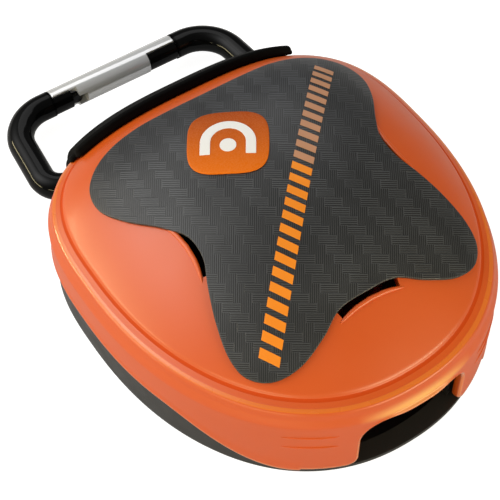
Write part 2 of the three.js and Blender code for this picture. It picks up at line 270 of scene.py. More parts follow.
def rod(start, end, radius, sides=48, rounding=0.0):
    bm = bmesh.new()
    start = Vector(start)
    end = Vector(end)
    axis = end - start
    matrix = Matrix.Translation((start + end) / 2) @ pointing(axis)
    bmesh.ops.create_cone(
        bm, cap_ends=True, segments=sides, radius1=radius, radius2=radius, depth=axis.length, matrix=matrix,
    )
    if rounding:
        roundOff(bm, rimEdges(bm), rounding)
    return bm


# A rod along X at (y, z).
def crossRod(x0, x1, y, z, radius, sides=48, rounding=0.0):
    return rod((x0, y, z), (x1, y, z), radius, sides, rounding)


# A ball with its poles on the X axis.
def lyingBall(around, rings):
    bm = bmesh.new()
    bmesh.ops.create_uvsphere(bm, u_segments=around, v_segments=rings, radius=1)
    bmesh.ops.rotate(bm, cent=(0, 0, 0), matrix=Matrix.Rotation(pi / 2, 3, "Y"), verts=bm.verts)
    return bm


# Materials


def newMaterial(name, **fixed):
    material = bpy.data.materials.new(name)
    material.use_nodes = True
    shader = material.node_tree.nodes["Principled BSDF"]
    for socket, value in fixed.items():
        shader.inputs[socket].default_value = value
    return material, material.node_tree, shader


def feed(tree, socket, value):
    if isinstance(value, bpy.types.NodeSocket):
        tree.links.new(value, socket)
    else:
        socket.default_value = value


def calc(tree, operation, *values):
    node = tree.nodes.new("ShaderNodeMath")
    node.operation = operation
    for socket, value in zip(node.inputs, values):
        feed(tree, socket, value)
    return node.outputs[0]


def blendColour(tree, factor, first, second, how="MIX"):
    node = tree.nodes.new("ShaderNodeMix")
    node.data_type = "RGBA"
    node.blend_type = how
    feed(tree, node.inputs["Factor"], factor)
    feed(tree, node.inputs["A"], first)
    feed(tree, node.inputs["B"], second)
    return node.outputs["Result"]


def remap(tree, value, low, high, outLow, outHigh):
    node = tree.nodes.new("ShaderNodeMapRange")
    node.clamp = False
    for socket, number in zip(node.inputs, (value, low, high, outLow, outHigh)):
        feed(tree, socket, number)
    return node.outputs[0]


def objectSpot(tree, scale=(1, 1, 1), turn=(0, 0, 0)):
    coordinates = tree.nodes.new("ShaderNodeTexCoord")
    mapping = tree.nodes.new("ShaderNodeMapping")
    mapping.inputs["Scale"].default_value = scale
    mapping.inputs["Rotation"].default_value = turn
    tree.links.new(coordinates.outputs["Object"], mapping.inputs["Vector"])
    return mapping.outputs[0]


# The X, Y and Z of the shaded spot in millimetres.
def spotAxes(tree):
    split = tree.nodes.new("ShaderNodeSeparateXYZ")
    tree.links.new(objectSpot(tree, (1000, 1000, 1000)), split.inputs[0])
    return split.outputs


# Noise of about one feature to each `size` millimetres.
def grain(tree, size, detail=2.0, scale=(1, 1, 1)):
    node = tree.nodes.new("ShaderNodeTexNoise")
    node.inputs["Scale"].default_value = 1000 / size
    node.inputs["Detail"].default_value = detail
    tree.links.new(objectSpot(tree, scale), node.inputs["Vector"])
    return node.outputs["Fac"]


def bump(tree, shader, height, depth, strength=1.0):
    node = tree.nodes.new("ShaderNodeBump")
    node.inputs["Strength"].default_value = strength
    node.inputs["Distance"].default_value = depth * 0.001
    tree.links.new(height, node.inputs["Height"])
    tree.links.new(node.outputs[0], shader.inputs["Normal"])


def dress(tree, shader, colour, roughness):
    tree.links.new(colour, shader.inputs["Base Color"])
    tree.links.new(roughness, shader.inputs["Roughness"])


# A plain moulded or painted finish: two close shades in patches, uneven gloss and a fine grain.
def mottled(name, shadeA, shadeB, patch, gloss, grainSize, grainDepth, **fixed):
    material, tree, shader = newMaterial(name, **fixed)
    patches = grain(tree, patch, 3.0)
    tone = blendColour(tree, patches, (*shadeA, 1), (*shadeB, 1))
    dress(tree, shader, tone, remap(tree, grain(tree, patch * 0.4), 0.3, 0.7, *gloss))
    bump(tree, shader, grain(tree, grainSize, 4.0), grainDepth)
    return material


orangePlastic = mottled(
    "orangePlastic", (0.68, 0.092, 0.002), (0.73, 0.106, 0.003), 30, (0.38, 0.44), 0.7, 0.003,
    **{"Subsurface Weight": 0.05, "Subsurface Radius": (0.003, 0.001, 0.0004), "Coat Weight": 0.08,
       "Coat Roughness": 0.15, "Specular IOR Level": 0.8},
)
# Painted highlight: a paler orange under a glossy coat, for the bead's crest and the skirt's foot.
orangeRidgePaintedHighlight = mottled(
    "orangeRidgePaintedHighlight", (0.8, 0.17, 0.014), (0.84, 0.2, 0.018), 20, (0.25, 0.3), 0.7, 0.003,
    **{"Coat Weight": 1.0, "Coat Roughness": 0.12},
)
# Painted shade: a darker, rougher orange for the faces of the fine groove.
orangeGroovePaintedShade = mottled(
    "orangeGroovePaintedShade", (0.6, 0.06, 0.002), (0.65, 0.07, 0.003), 20, (0.6, 0.7), 0.7, 0.003,
    **{"Specular IOR Level": 0.2},
)

# Painted highlight on the lid over the notch: a paler band at a height, fading to both sides.
browPaintedHighlight = {"z": 21.9, "spread": 0.85, "half": 14.0, "behind": -30.0, "colour": (1.0, 0.5, 0.14, 1)}


def paintBrowHighlight(material):
    tree = material.node_tree
    shader = tree.nodes["Principled BSDF"]
    plain = shader.inputs["Base Color"].links[0].from_socket
    x, y, z = spotAxes(tree)
    offHeight = calc(tree, "DIVIDE", calc(tree, "SUBTRACT", z, browPaintedHighlight["z"]), browPaintedHighlight["spread"])
    squared = calc(tree, "MULTIPLY", offHeight, offHeight)
    level = calc(tree, "EXPONENT", calc(tree, "MULTIPLY", squared, -1.0))
    offSide = calc(tree, "DIVIDE", x, browPaintedHighlight["half"])
    taper = calc(tree, "MAXIMUM", calc(tree, "SUBTRACT", 1.0, calc(tree, "MULTIPLY", offSide, offSide)), 0.0)
    ahead = calc(tree, "LESS_THAN", y, browPaintedHighlight["behind"])
    amount = calc(tree, "MULTIPLY", calc(tree, "MULTIPLY", level, taper), ahead)
    tree.links.new(blendColour(tree, amount, plain, browPaintedHighlight["colour"]), shader.inputs["Base Color"])


# The plain orange carries the painted highlight over the notch.
paintBrowHighlight(orangePlastic)

baseGrey = mottled(
    "baseGrey", (0.018, 0.018, 0.019), (0.026, 0.026, 0.027), 12, (0.36, 0.46), 0.35, 0.02,
    **{"Specular IOR Level": 0.45},
)
stripBlack = mottled(
    "stripBlack", (0.002, 0.002, 0.002), (0.004, 0.004, 0.004), 8, (0.62, 0.72), 0.3, 0.015,
    **{"Specular IOR Level": 0.06},
)
enamelBlack = mottled(
    "enamelBlack", (0.002, 0.002, 0.002), (0.003, 0.003, 0.003), 10, (0.1, 0.15), 1.2, 0.004,
    **{"Coat Weight": 0.1, "Coat Roughness": 0.03, "Specular IOR Level": 0.12},
)
steelGrey = mottled(
    "steelGrey", (0.5, 0.5, 0.52), (0.6, 0.6, 0.62), 3, (0.28, 0.4), 0.2, 0.008, Metallic=1.0,
)
guardRubber = mottled(
    "guardRubber", (0.02, 0.021, 0.024), (0.028, 0.029, 0.033), 9, (0.42, 0.55), 0.5, 0.03,
)
guardGel = mottled(
    "guardGel", (0.6, 0.085, 0.015), (0.68, 0.11, 0.02), 7, (0.3, 0.42), 0.9, 0.02,
    **{"Subsurface Weight": 0.35, "Subsurface Radius": (0.005, 0.002, 0.001)},
)


def chromeFinish():
    material, tree, shader = newMaterial("gateChrome", Metallic=0.4)
    brushed = grain(tree, 0.6, 3.0, (0.04, 1, 1))
    tone = blendColour(tree, brushed, (0.86, 0.87, 0.88, 1), (0.92, 0.93, 0.94, 1))
    dress(tree, shader, tone, remap(tree, brushed, 0.3, 0.7, 0.05, 0.11))
    bump(tree, shader, brushed, 0.002)
    return material


gateChrome = chromeFinish()

weave = {
    "angle": 33.7, "lean": 53.6, "cell": 1.54, "rowPitch": 1.92, "repeat": 4.86, "floatCells": 2.43,
    "threadsPerRow": 4.5, "warpPitch": 0.42, "endsFrom": 0.92, "endsLight": 0.7,
    "weftDark": 0.004, "weftLight": 0.074, "warpDark": 0.005, "warpLight": 0.052, "tint": (0.93, 0.98, 1.08),
}


# A twill of flat bundles: weft floats with threads along U, and warp bundles along V between them.
def carbonFinish():
    material, tree, shader = newMaterial("carbonWeave", **{"Specular IOR Level": 0.6})
    turn = radians(weave["angle"])
    lean = radians(weave["lean"])
    x, y, z = spotAxes(tree)

    def axis(*parts):
        terms = [calc(tree, "MULTIPLY", output, part) for output, part in zip((x, y, z), parts)]
        return calc(tree, "ADD", calc(tree, "ADD", terms[0], terms[1]), terms[2])

    # the cloth is laid from the front left, so its rows are spaced along a leaning line
    u = axis(cos(turn), -sin(turn), 0.0)
    v = axis(sin(turn) * sin(lean), cos(turn) * sin(lean), cos(lean))
    rows = calc(tree, "DIVIDE", v, weave["rowPitch"])
    row = calc(tree, "FLOOR", rows)
    across = calc(tree, "FRACT", rows)
    cells = calc(tree, "ADD", calc(tree, "DIVIDE", u, weave["cell"]), row)
    phase = calc(tree, "FLOORED_MODULO", cells, weave["repeat"])
    onWeft = calc(tree, "LESS_THAN", phase, weave["floatCells"])
    along = calc(tree, "DIVIDE", phase, weave["floatCells"])

    def threads(value):
        wave = calc(tree, "COSINE", calc(tree, "MULTIPLY", value, 2 * pi))
        return calc(tree, "MULTIPLY_ADD", wave, 0.5, 0.5)

    def shadeBetween(amount, dark, light):
        return calc(tree, "MULTIPLY_ADD", amount, light - dark, dark)

    def byBundle(weftValue, warpValue):
        weftPart = calc(tree, "MULTIPLY", weftValue, onWeft)
        warpPart = calc(tree, "MULTIPLY", warpValue, calc(tree, "SUBTRACT", 1.0, onWeft))
        return calc(tree, "ADD", weftPart, warpPart)

    weftThreads = threads(calc(tree, "MULTIPLY", across, weave["threadsPerRow"]))
    warpThreads = threads(calc(tree, "DIVIDE", u, weave["warpPitch"]))
    # a float catches the light along its two ends as well
    fromMiddle = calc(tree, "ABSOLUTE", calc(tree, "MULTIPLY_ADD", along, 2.0, -1.0))
    atEnds = calc(tree, "GREATER_THAN", fromMiddle, weave["endsFrom"])
    ends = calc(tree, "MULTIPLY", atEnds, weave["endsLight"])
    weftShade = shadeBetween(calc(tree, "MAXIMUM", weftThreads, ends), weave["weftDark"], weave["weftLight"])
    warpShade = shadeBetween(warpThreads, weave["warpDark"], weave["warpLight"])
    wear = remap(tree, grain(tree, 9, 2.0), 0.3, 0.7, 0.8, 1.15)
    shade = calc(tree, "MULTIPLY", byBundle(weftShade, warpShade), wear)
    colour = tree.nodes.new("ShaderNodeCombineColor")
    for socket, share in zip(colour.inputs, weave["tint"]):
        tree.links.new(calc(tree, "MULTIPLY", shade, share), socket)
    dress(tree, shader, colour.outputs[0], calc(tree, "MULTIPLY_ADD", onWeft, -0.02, 0.42))
    weftHeight = calc(tree, "MULTIPLY_ADD", weftThreads, 0.5, 0.5)
    height = byBundle(weftHeight, calc(tree, "MULTIPLY", warpThreads, 0.4))
    bump(tree, shader, height, 0.05)
    return material


carbonWeave = carbonFinish()
badge = {
    "at": (-5.4, 14.2), "radius": 9.0, "thick": 0.35,
    "top": (0.42, 0.06, 0.001), "bottom": (0.86, 0.18, 0.002), "corners": 3.4, "fit": 0.94,
}


# Badge print: an even change of shade from its upper to its lower edge, with a fine dot grain.
def badgeFinish():
    material, tree, shader = newMaterial("badgePrint", **{"Specular IOR Level": 0.1})
    turn = radians(weave["angle"])
    x, y, z = spotAxes(tree)
    v = calc(tree, "ADD", calc(tree, "MULTIPLY", x, sin(turn)), calc(tree, "MULTIPLY", y, cos(turn)))
    middle = badge["at"][0] * sin(turn) + badge["at"][1] * cos(turn)
    fade = remap(tree, v, middle - badge["radius"], middle + badge["radius"], 0.0, 1.0)
    tone = blendColour(tree, fade, (*badge["bottom"], 1), (*badge["top"], 1))
    dots = remap(tree, grain(tree, 0.3, 1.0), 0.35, 0.65, 0.0, 0.06)
    colour = blendColour(tree, dots, tone, (1, 0.6, 0.3, 1))
    dress(tree, shader, colour, remap(tree, grain(tree, 4), 0.3, 0.7, 0.36, 0.46))
    return material


badgePrint = badgeFinish()
whitePrint = mottled("whitePrint", (0.93, 0.93, 0.93), (0.97, 0.97, 0.96), 5, (0.4, 0.5), 0.3, 0.01)
orangePrint = mottled("orangePrint", (0.92, 0.26, 0.008), (1.0, 0.31, 0.012), 5, (0.4, 0.5), 0.3, 0.01)
tanPrint = mottled("tanPrint", (0.52, 0.25, 0.13), (0.6, 0.3, 0.17), 5, (0.4, 0.5), 0.3, 0.01)
print("materials made")

# Lid: a dome, a fine groove, a rolled bead, the shoulder and the skirt with its rounded lower edge.
# The groove's faces have a darker orange as painted shade, and the bead's crest and the skirt's foot a paler
# orange as a painted highlight.
lid = {
    "wall": 1.9, "grooveAt": 0.925, "grooveWidth": 0.008, "grooveDepth": 0.3, "grooveHalf": 0.0045,
    "beadAt": 0.963, "beadWidth": 0.014, "beadHeight": 0.6, "ridgeHalf": 0.0065,
    "edgeRound": 0.7, "flare": 0.25, "footLow": -0.6, "footHigh": 0.4, "footFrom": 0.98,
    "notchHalf": 13.0, "notchTop": 20.2, "notchRound": 6.5, "skirtRound": 2.6, "notchReach": 24.0,
    "browOut": 0.6, "browEase": 11.0, "sharpAngle": 45,
}
# The plain orange, the groove's painted shade and the painted highlight on the crest and foot.
lidFinishesAndPaintedLight = [orangePlastic, orangeGroovePaintedShade, orangeRidgePaintedHighlight]


# How far the outer surface stands off the plain dome at u: down in the groove, up on the bead.
def beadHeight(u):
    groove = exp(-(((u - lid["grooveAt"]) / lid["grooveWidth"]) ** 2))
    crown = exp(-(((u - lid["beadAt"]) / lid["beadWidth"]) ** 2))
    return lid["beadHeight"] * crown - lid["grooveDepth"] * groove


def lidProfile():
    reach = caseShape["turnRadius"]
    shoulder = caseShape["shoulderZ"]
    wide = [k / 30 * 0.9 for k in range(31)]
    fine = [0.9 + 0.0055 * k for k in range(1, 18)]
    outer = []
    for u in wide + fine + [0.9965, 0.9995]:
        slope = (domeZ(min(1.0, u + 0.001)) - domeZ(u - 0.001)) / (0.002 * reach) if u else 0.0
        normal = Vector((-slope, 1.0)).normalized()
        offset = beadHeight(u)
        outer.append((u * reach + normal.x * offset, domeZ(u) + normal.y * offset))
    wallRows = [shoulder * (1 - k / 14) for k in range(15)]
    skirt = [(reach, z) for z in wallRows[:-1] + [lid["footHigh"], 0]]
    r = lid["edgeRound"]
    arc = [radians(a) for a in (20, 45, 70, 90)]
    lowOuter = [(reach - r + r * cos(a), -r * sin(a)) for a in arc]
    inside = reach - lid["wall"]
    lowInner = [(inside + r - r * cos(a), -r * sin(a)) for a in reversed(arc)]
    innerWall = [(inside, shoulder * k / 8) for k in range(8)]
    innerDome = [(inside * u, domeZ(u) - lid["wall"]) for u in (0.99, 0.97, 0.94, 0.9, 0.85, 0.79, 0.72,
                                                               0.64, 0.55, 0.45, 0.34, 0.22, 0.1)]
    closing = [(0, domeZ(0) - lid["wall"])]
    return outer + skirt + lowOuter + lowInner + innerWall + innerDome + closing


# The lower edge of the skirt near the notch, as (x, z) and the direction out of the material,
# for a column whose top is at x = topX: along the notch's top, round its corner, down and out.
def notchEdge(topX):
    half, top, reach = lid["notchHalf"], lid["notchTop"], lid["notchReach"]
    r, footR, footZ = lid["notchRound"], lid["skirtRound"], caseShape["partingFrontZ"]
    flat = half - r
    cornerRun = r * pi / 2
    side = top - r - footZ - footR
    footRun = footR * pi / 2
    upper = flat + cornerRun
    if topX < half:
        s = upper * topX / half
    else:
        rest = side + footRun + (reach - half - footR)
        s = upper + rest * (topX - half) / (reach - half)
    if s < flat:
        return s, top, 0.0, -1.0
    s -= flat
    if s < cornerRun:
        a = s / r
        return flat + r * sin(a), top - r * (1 - cos(a)), -sin(a), -cos(a)
    s -= cornerRun
    if s < side:
        return half, top - r - s, -1.0, 0.0
    s -= side
    if s < footRun:
        a = s / footR
        x = half + footR * (1 - cos(a))
        return x, footZ + footR * (1 - sin(a)), -cos(a), -sin(a)
    s -= footRun
    return half + footR + s, footZ, 0.0, -1.0


def placeLidPoint(co):
    reach = caseShape["turnRadius"]
    shoulder = caseShape["shoulderZ"]
    psi = columnFromFront(co)
    phi = psi - pi / 2
    radius = hypot(co.x, co.y)
    z = co.z
    if z >= shoulder - 1e-6:
        z -= fallAt(phi, radius / reach)
    else:
        r = lid["edgeRound"]
        down = (shoulder - z) / shoulder
        beyond = max(0.0, -z)
        topX = eggRadius(phi) * cos(phi)
        if abs(psi) < pi / 2 and abs(topX) < lid["notchReach"]:
            edgeX, edgeZ, outX, outZ = notchEdge(abs(topX))
            startX = edgeX - outX * r
            startZ = edgeZ - outZ * r
            t = min(1.0, down)
            x = abs(topX) + (startX - abs(topX)) * t + outX * beyond
            z = shoulder + (startZ - shoulder) * t + outZ * beyond
            inward = (lid["notchHalf"] + 0.5 - edgeX) / lid["browEase"]
            brow = smoothstep(inward) * smoothstep(t) * lid["browOut"]
            y = frontWallY(x) - caseShape["middleY"]
            phi = atan2(y, copysign(x, topX))
            radius += brow
        else:
            foot = partingZ(phi) + r
            z = shoulder + (foot - shoulder) * min(1.0, down) - beyond
            radius += lid["flare"] * smoothstep((down - 0.8) / 0.2)
    scale = radius / reach * eggRadius(phi)
    return Vector((scale * cos(phi), scale * sin(phi) + caseShape["middleY"], z))


# A thin rib with tapered ends on the front wall, at height z between two values of x.
grips = {"heights": (18.0, 14.2), "from": 17.4, "to": 27.4, "halfHeight": 0.3, "stand": 0.26}


def gripRib(side, height):
    half = (grips["to"] - grips["from"]) / 2
    middle = side * (grips["from"] + grips["to"]) / 2

    def place(co):
        x = middle + co.x * half
        rise = frontWallY(x + 0.1) - frontWallY(x - 0.1)
        outward = Vector((rise, -0.2, 0)).normalized()
        spot = Vector((x, frontWallY(x), height + co.z * grips["halfHeight"]))
        return spot + outward * (co.y * grips["stand"])

    return bend(lyingBall(40, 16), place)


# Vent slots: bands between two radii about a centre in plan, with a raised lip on the lid's side.
vents = {
    "sides": {"centre": (49.35, -0.4), "near": 24.6, "far": 27.6, "half": 7.4},
    "front": {"centre": (0.0, -58.6), "near": 30.1, "far": 33.2, "half": 7.2},
    "lipOut": 0.5, "lipHeight": 0.45,
}


# Bends a bar (along X for its length, Y across) to an arc about centre that opens in the direction facing.
def arcPlace(centre, radius, facing):
    def place(co):
        angle = facing + co.x / radius
        reach = radius + co.y
        return centre[0] + reach * cos(angle), centre[1] + reach * sin(angle), co.z
    return place


def ventArcs():
    side = vents["sides"]
    front = vents["front"]
    yield (side["centre"][0], side["centre"][1]), side, pi
    yield (-side["centre"][0], side["centre"][1]), side, 0.0
    yield front["centre"], front, pi / 2


def ventTools():
    for centre, vent, facing in ventArcs():
        width = vent["far"] - vent["near"]
        bm = softBox((-vent["half"], 0, 10), (vent["half"], width, 60), 0, cuts=((0, 0.6),))
        place = arcPlace(centre, vent["near"], facing)
        yield bend(bm, lambda co: Vector(place(co)))


def ventLip(centre, vent, facing):
    place = arcPlace(centre, vent["near"] - 0.35, facing)

    def draped(co):
        length = copysign(abs(co.x) ** 0.6, co.x) * (vent["half"] + 0.8)
        x, y, z = place(Vector((length, co.y * vents["lipOut"], 0)))
        return onLid(x, y, co.z * vents["lipHeight"])

    return bend(lyingBall(48, 14), draped)


# Which of the lid's materials the face of the turned shape at spot has: the plain orange, the groove's
# painted shade or the painted highlight on the bead's crest and the skirt's foot.
def finishOrPaintedLightAt(spot):
    u = hypot(spot.x, spot.y) / caseShape["turnRadius"]
    onTop = spot.z > domeZ(u) - lid["wall"] / 2
    if onTop and abs(u - lid["grooveAt"]) < lid["grooveHalf"]:
        return lidFinishesAndPaintedLight.index(orangeGroovePaintedShade)
    onRidge = onTop and abs(u - lid["beadAt"]) < lid["ridgeHalf"]
    onFoot = lid["footLow"] < spot.z < lid["footHigh"] and u > lid["footFrom"]
    return lidFinishesAndPaintedLight.index(orangeRidgePaintedHighlight if onRidge or onFoot else orangePlastic)


def makeLid():
    bm = turned(lidProfile(), caseShape["turnSteps"])
    for face in bm.faces:
        face.material_index = finishOrPaintedLightAt(face.calc_center_median())
    piece = pieceFrom(bend(bm, placeLidPoint), "lidCover")
    for finish in lidFinishesAndPaintedLight:
        piece.data.materials.append(finish)
    for tool in ventTools():
        carve(piece, tool)
    extra = [gripRib(side, height) for side in (-1, 1) for height in grips["heights"]]
    extra += [ventLip(*arc) for arc in ventArcs()]
    whole = joined(extra, piece.data)
    whole.to_mesh(piece.data)
    whole.free()
    finishPiece(piece, "lid", ["lid_shell"], lidFinishesAndPaintedLight, lid["sharpAngle"])


makeLid()
print("lid made")

# Inlay: a lobed panel on the dome, outlined by a smooth closed curve and the same on both sides.
inlay = {
    "gap": 0.1, "thick": 0.75, "round": 0.3, "steps": 360,
    "halfOutline": (
        (0, -27.4), (7, -27.8), (12.5, -30.4), (19.5, -32.3), (25.2, -31.2), (28.8, -27.5), (29.6, -23),
        (28.4, -16.5), (26, -9.8), (23.9, -5), (23.8, 0.5), (26.4, 5.6), (31.2, 13.2), (33.6, 19.8),
        (32.7, 25.4), (29.6, 29), (24.8, 31.3), (18, 32.2), (9, 31.8), (0, 31.6),
    ),
}


# A smooth closed curve through the points, with `count` places on each span.
def closedCurve(points, count):
    places = []
    total = len(points)
    for i in range(total):
        a, b, c, d = (Vector(points[(i + k) % total]) for k in (-1, 0, 1, 2))
        ab, bc, cd = (sqrt((q - p).length) for p, q in ((a, b), (b, c), (c, d)))
        leave = ((b - a) / ab - (c - a) / (ab + bc) + (c - b) / bc) * bc
        arrive = ((c - b) / bc - (d - b) / (bc + cd) + (d - c) / cd) * bc
        for k in range(count):
            t = k / count
            places.append(
                b * (2 * t ** 3 - 3 * t ** 2 + 1) + leave * (t ** 3 - 2 * t ** 2 + t)
                + c * (3 * t ** 2 - 2 * t ** 3) + arrive * (t ** 3 - t ** 2)
            )
    return places


def inlayEdge():
    right = list(inlay["halfOutline"])
    left = [(-x, y) for x, y in reversed(right[1:-1])]
    curve = closedCurve(right + left, 12)
    return sorted((atan2(p.y, p.x), p.length) for p in curve)


# Looks up a rising list of (angle, radius) pairs that goes once round.
def radiusAt(edge, angle):
    low, high = 0, len(edge)
    while low < high:
        middle = (low + high) // 2
        if edge[middle][0] < angle:
            low = middle + 1
        else:
            high = middle
    after, afterRadius = edge[low % len(edge)]
    before, beforeRadius = edge[low - 1]
    span = (after - before) % (2 * pi)
    part = ((angle - before) % (2 * pi)) / span if span else 0.0
    return beforeRadius + (afterRadius - beforeRadius) * part


def makeInlay():
    edge = inlayEdge()
    r = inlay["round"]
    base, top = inlay["gap"], inlay["gap"] + inlay["thick"]
    outer = 50.0
    arc = [radians(a) for a in (0, 22, 45, 68, 90)]
    under = [(outer * k / 6, base) for k in range(6)] + [(outer - 0.4, base), (outer, base + 0.1)]
    rim = [(outer - r + r * cos(a), top - r + r * sin(a)) for a in arc]
    rows = [outer - 0.8 - 0.9 * k for k in range(3)] + [outer * (1 - k / 44) for k in range(3, 44)]
    over = [(radius, top) for radius in rows]
    bm = turned(under + rim + over + [(0, top)], inlay["steps"])

    def place(co):
        angle = atan2(co.y, co.x)
        reach = radiusAt(edge, angle) * hypot(co.x, co.y) / outer
        return onLid(reach * cos(angle), reach * sin(angle), co.z)

    piece = pieceFrom(bend(bm, place), "carbonInlay")
    finishPiece(piece, "lid", ["carbon_inlay"], [carbonWeave])


makeInlay()
inlayTop = inlay["gap"] + inlay["thick"]
print("inlay made")

viewTurn = radians(weave["angle"])
alongU = Vector((cos(viewTurn), -sin(viewTurn)))
alongV = Vector((sin(viewTurn), cos(viewTurn)))


# A plan point from the badge's middle, with `across` to its right and `up` to its top.
def badgePoint(across, up):
    spot = Vector(badge["at"]) + alongU * across + alongV * up
    return spot.x, spot.y


def makeBadge():
    top = badge["thick"]
    radius = badge["radius"]
    arc = [radians(a) for a in (0, 30, 60, 90)]
    rim = [(radius - 0.2 + 0.2 * cos(a), top - 0.2 + 0.2 * sin(a)) for a in arc]
    under = [(0, 0), (radius - 0.1, 0), (radius, 0.1)]
    over = [(radius * (1 - k / 12), top) for k in range(1, 13)]
    bm = turned(under + rim + over, 96)

    def place(co):
        # a rounded square rather than a plain circle
        angle = atan2(co.y, co.x)
        power = badge["corners"]
        spread = (abs(cos(angle)) ** power + abs(sin(angle)) ** power) ** (-1 / power)
        x, y = badgePoint(co.x * spread * badge["fit"], co.y * spread * badge["fit"])
        return onLid(x, y, inlayTop + 0.02 + co.z)

    piece = pieceFrom(bend(bm, place), "badgePlate")
    finishPiece(piece, "lid", ["inlay_badge"], [badgePrint])


# A flat U, the plan of a mouthguard, over a dot.
archMark = {"radius": 4.7, "width": 2.1, "leg": 3.2, "thick": 0.1, "drop": -0.4, "dot": 1.7, "dotDrop": 0.9}


def makeArchMark():
    radius = archMark["radius"]
    bow = pi * radius
    half = bow / 2 + archMark["leg"]
    width = archMark["width"] / 2
    bar = softBox((-half, -width, 0), (half, width, archMark["thick"]), 0.04, 1, ((0, 0.35), (1, 0.7)))

    def onBadge(across, up, height):
        x, y = badgePoint(across, up + archMark["drop"])
        return onLid(x, y, inlayTop + badge["thick"] + 0.03 + height)

    def place(co):
        legPart = max(0.0, abs(co.x) - bow / 2)
        angle = copysign(min(abs(co.x), bow / 2), co.x) / radius
        reach = radius + co.y
        return onBadge(reach * sin(angle), reach * cos(angle) - legPart, co.z)

    rings = [(archMark["dot"] * (1 - k / 4), archMark["thick"]) for k in range(5)]
    dot = turned([(0, 0), (archMark["dot"], 0)] + rings, 48)
    bend(dot, lambda co: onBadge(co.x, co.y - archMark["dotDrop"], co.z))
    piece = pieceFrom(joined((bend(bar, place), dot)), "archMark")
    finishPiece(piece, "lid", [], [whitePrint])


# A band of slanted bars across the inlay, in two colours.
band = {
    "from": (-24.2, -28.6), "to": (26.6, 24.6), "width": 4.3, "bars": 25, "fill": 0.6, "slant": 0.25,
    "thick": 0.08, "change": 0.56,
}


def makeBand():
    start = Vector(band["from"])
    reach = Vector(band["to"]) - start
    length = reach.length
    along = reach / length
    across = Vector((-along.y, along.x))
    pitch = length / band["bars"]
    groups = {"bandOrange": (orangePrint, 0.0, band["change"]), "bandTan": (tanPrint, band["change"], 1.0)}
    for name, (finish, low, high) in groups.items():
        bars = []
        for i in range(band["bars"]):
            middle = pitch * (i + 0.5)
            if not low <= middle / length < high:
                continue
            half = pitch * band["fill"] / 2
            width = band["width"] / 2
            bm = softBox((-half, -width, 0), (half, width, band["thick"]), 0.03, 1, ((0, 0.7), (1, 0.7)))

            def place(co):
                spot = start + along * (middle + co.x + band["slant"] * co.y) + across * co.y
                return onLid(spot.x, spot.y, inlayTop + 0.03 + co.z)

            bars.append(bend(bm, place))
        piece = pieceFrom(joined(bars), name)
        finishPiece(piece, "lid", [], [finish])


makeBadge()
makeArchMark()
makeBand()
print("badge and band made")

# Hinge leaf: a strip bent over the lid's rear shoulder, a tongue down to the hinge and its knuckle.
leaf = {
    "frontY": 38.4, "half": 28.6, "length": 14.6, "gap": 0.25, "thick": 2.3, "round": 0.75, "tailOut": 1.1,
    "tongueHalf": 11.6, "tongueFront": 47.9, "tongueBack": 50.2, "tongueTop": 23,
    "hingeY": 50.6, "hingeZ": 14.5, "knuckle": 2.6, "pin": 1.0, "pinHalf": 22.4, "slopeSpan": 0.9,
}


# The strip's way over the rear of the lid at x: from its front edge back and down the wall.
def rearWay(x):
    wallY = rearWallY(x)
    shoulder = caseShape["shoulderZ"]
    places = []
    for k in range(33):
        y = leaf["frontY"] + (wallY - leaf["frontY"]) * (1 - (1 - k / 32) ** 2)
        places.append((y, max(shoulder, lidZ(x, y)) if y < wallY else shoulder))
    places += [(wallY, shoulder - k) for k in range(1, 12)]
    return places


def alongWay(places, distance):
    for (y0, z0), (y1, z1) in zip(places, places[1:]):
        run = hypot(y1 - y0, z1 - z0)
        if distance <= run:
            t = distance / run if run else 0.0
            return y0 + (y1 - y0) * t, z0 + (z1 - z0) * t
        distance -= run
    return places[-1]


def makeLeaf():
    length = leaf["length"]
    bends = ((0, 0.9), (1, 0.45))
    bm = softBox((-leaf["half"], 0, 0), (leaf["half"], length, leaf["thick"]), leaf["round"], 5, bends)
    ways = {}

    def place(co):
        key = round(co.x, 3)
        if key not in ways:
            ways[key] = rearWay(co.x)
        ahead = alongWay(ways[key], max(0.0, co.y - leaf["slopeSpan"]))
        behind = alongWay(ways[key], co.y + leaf["slopeSpan"])
        y, z = alongWay(ways[key], max(0.0, co.y))
        way = Vector((behind[0] - ahead[0], behind[1] - ahead[1])).normalized()
        height = leaf["gap"] + co.z
        return Vector((co.x, y - way.y * height, z + way.x * height))

    piece = pieceFrom(bend(bm, place), "hingeStrip")
    # a second, thinner layer that shows past the left end
    left = -leaf["half"]
    tail = softBox((left - leaf["tailOut"], 2.6, 0), (left + 6, length - 1, 1.3), 0.5, 4, bends)
    carve(piece, bend(tail, place), "UNION")
    low = (-leaf["tongueHalf"], leaf["tongueFront"], leaf["hingeZ"])
    high = (leaf["tongueHalf"], leaf["tongueBack"], leaf["tongueTop"])
    tongue = softBox(low, high, 0.6, 4)
    carve(piece, tongue, "UNION")
    hinge = (leaf["hingeY"], leaf["hingeZ"])
    knuckle = crossRod(-leaf["tongueHalf"], leaf["tongueHalf"], *hinge, leaf["knuckle"], 64, 0.4)
    carve(piece, knuckle, "UNION")
    finishPiece(piece, "lid", ["hinge_leaf"], [stripBlack])


makeLeaf()
print("hinge leaf made")

# Domed rivets through the leaf, and the hinge pin.
rivet = {"x": 18.0, "z": 20.9, "head": 2.0, "dome": 0.8, "shank": 1.0, "tail": 2.0, "length": 5.2}


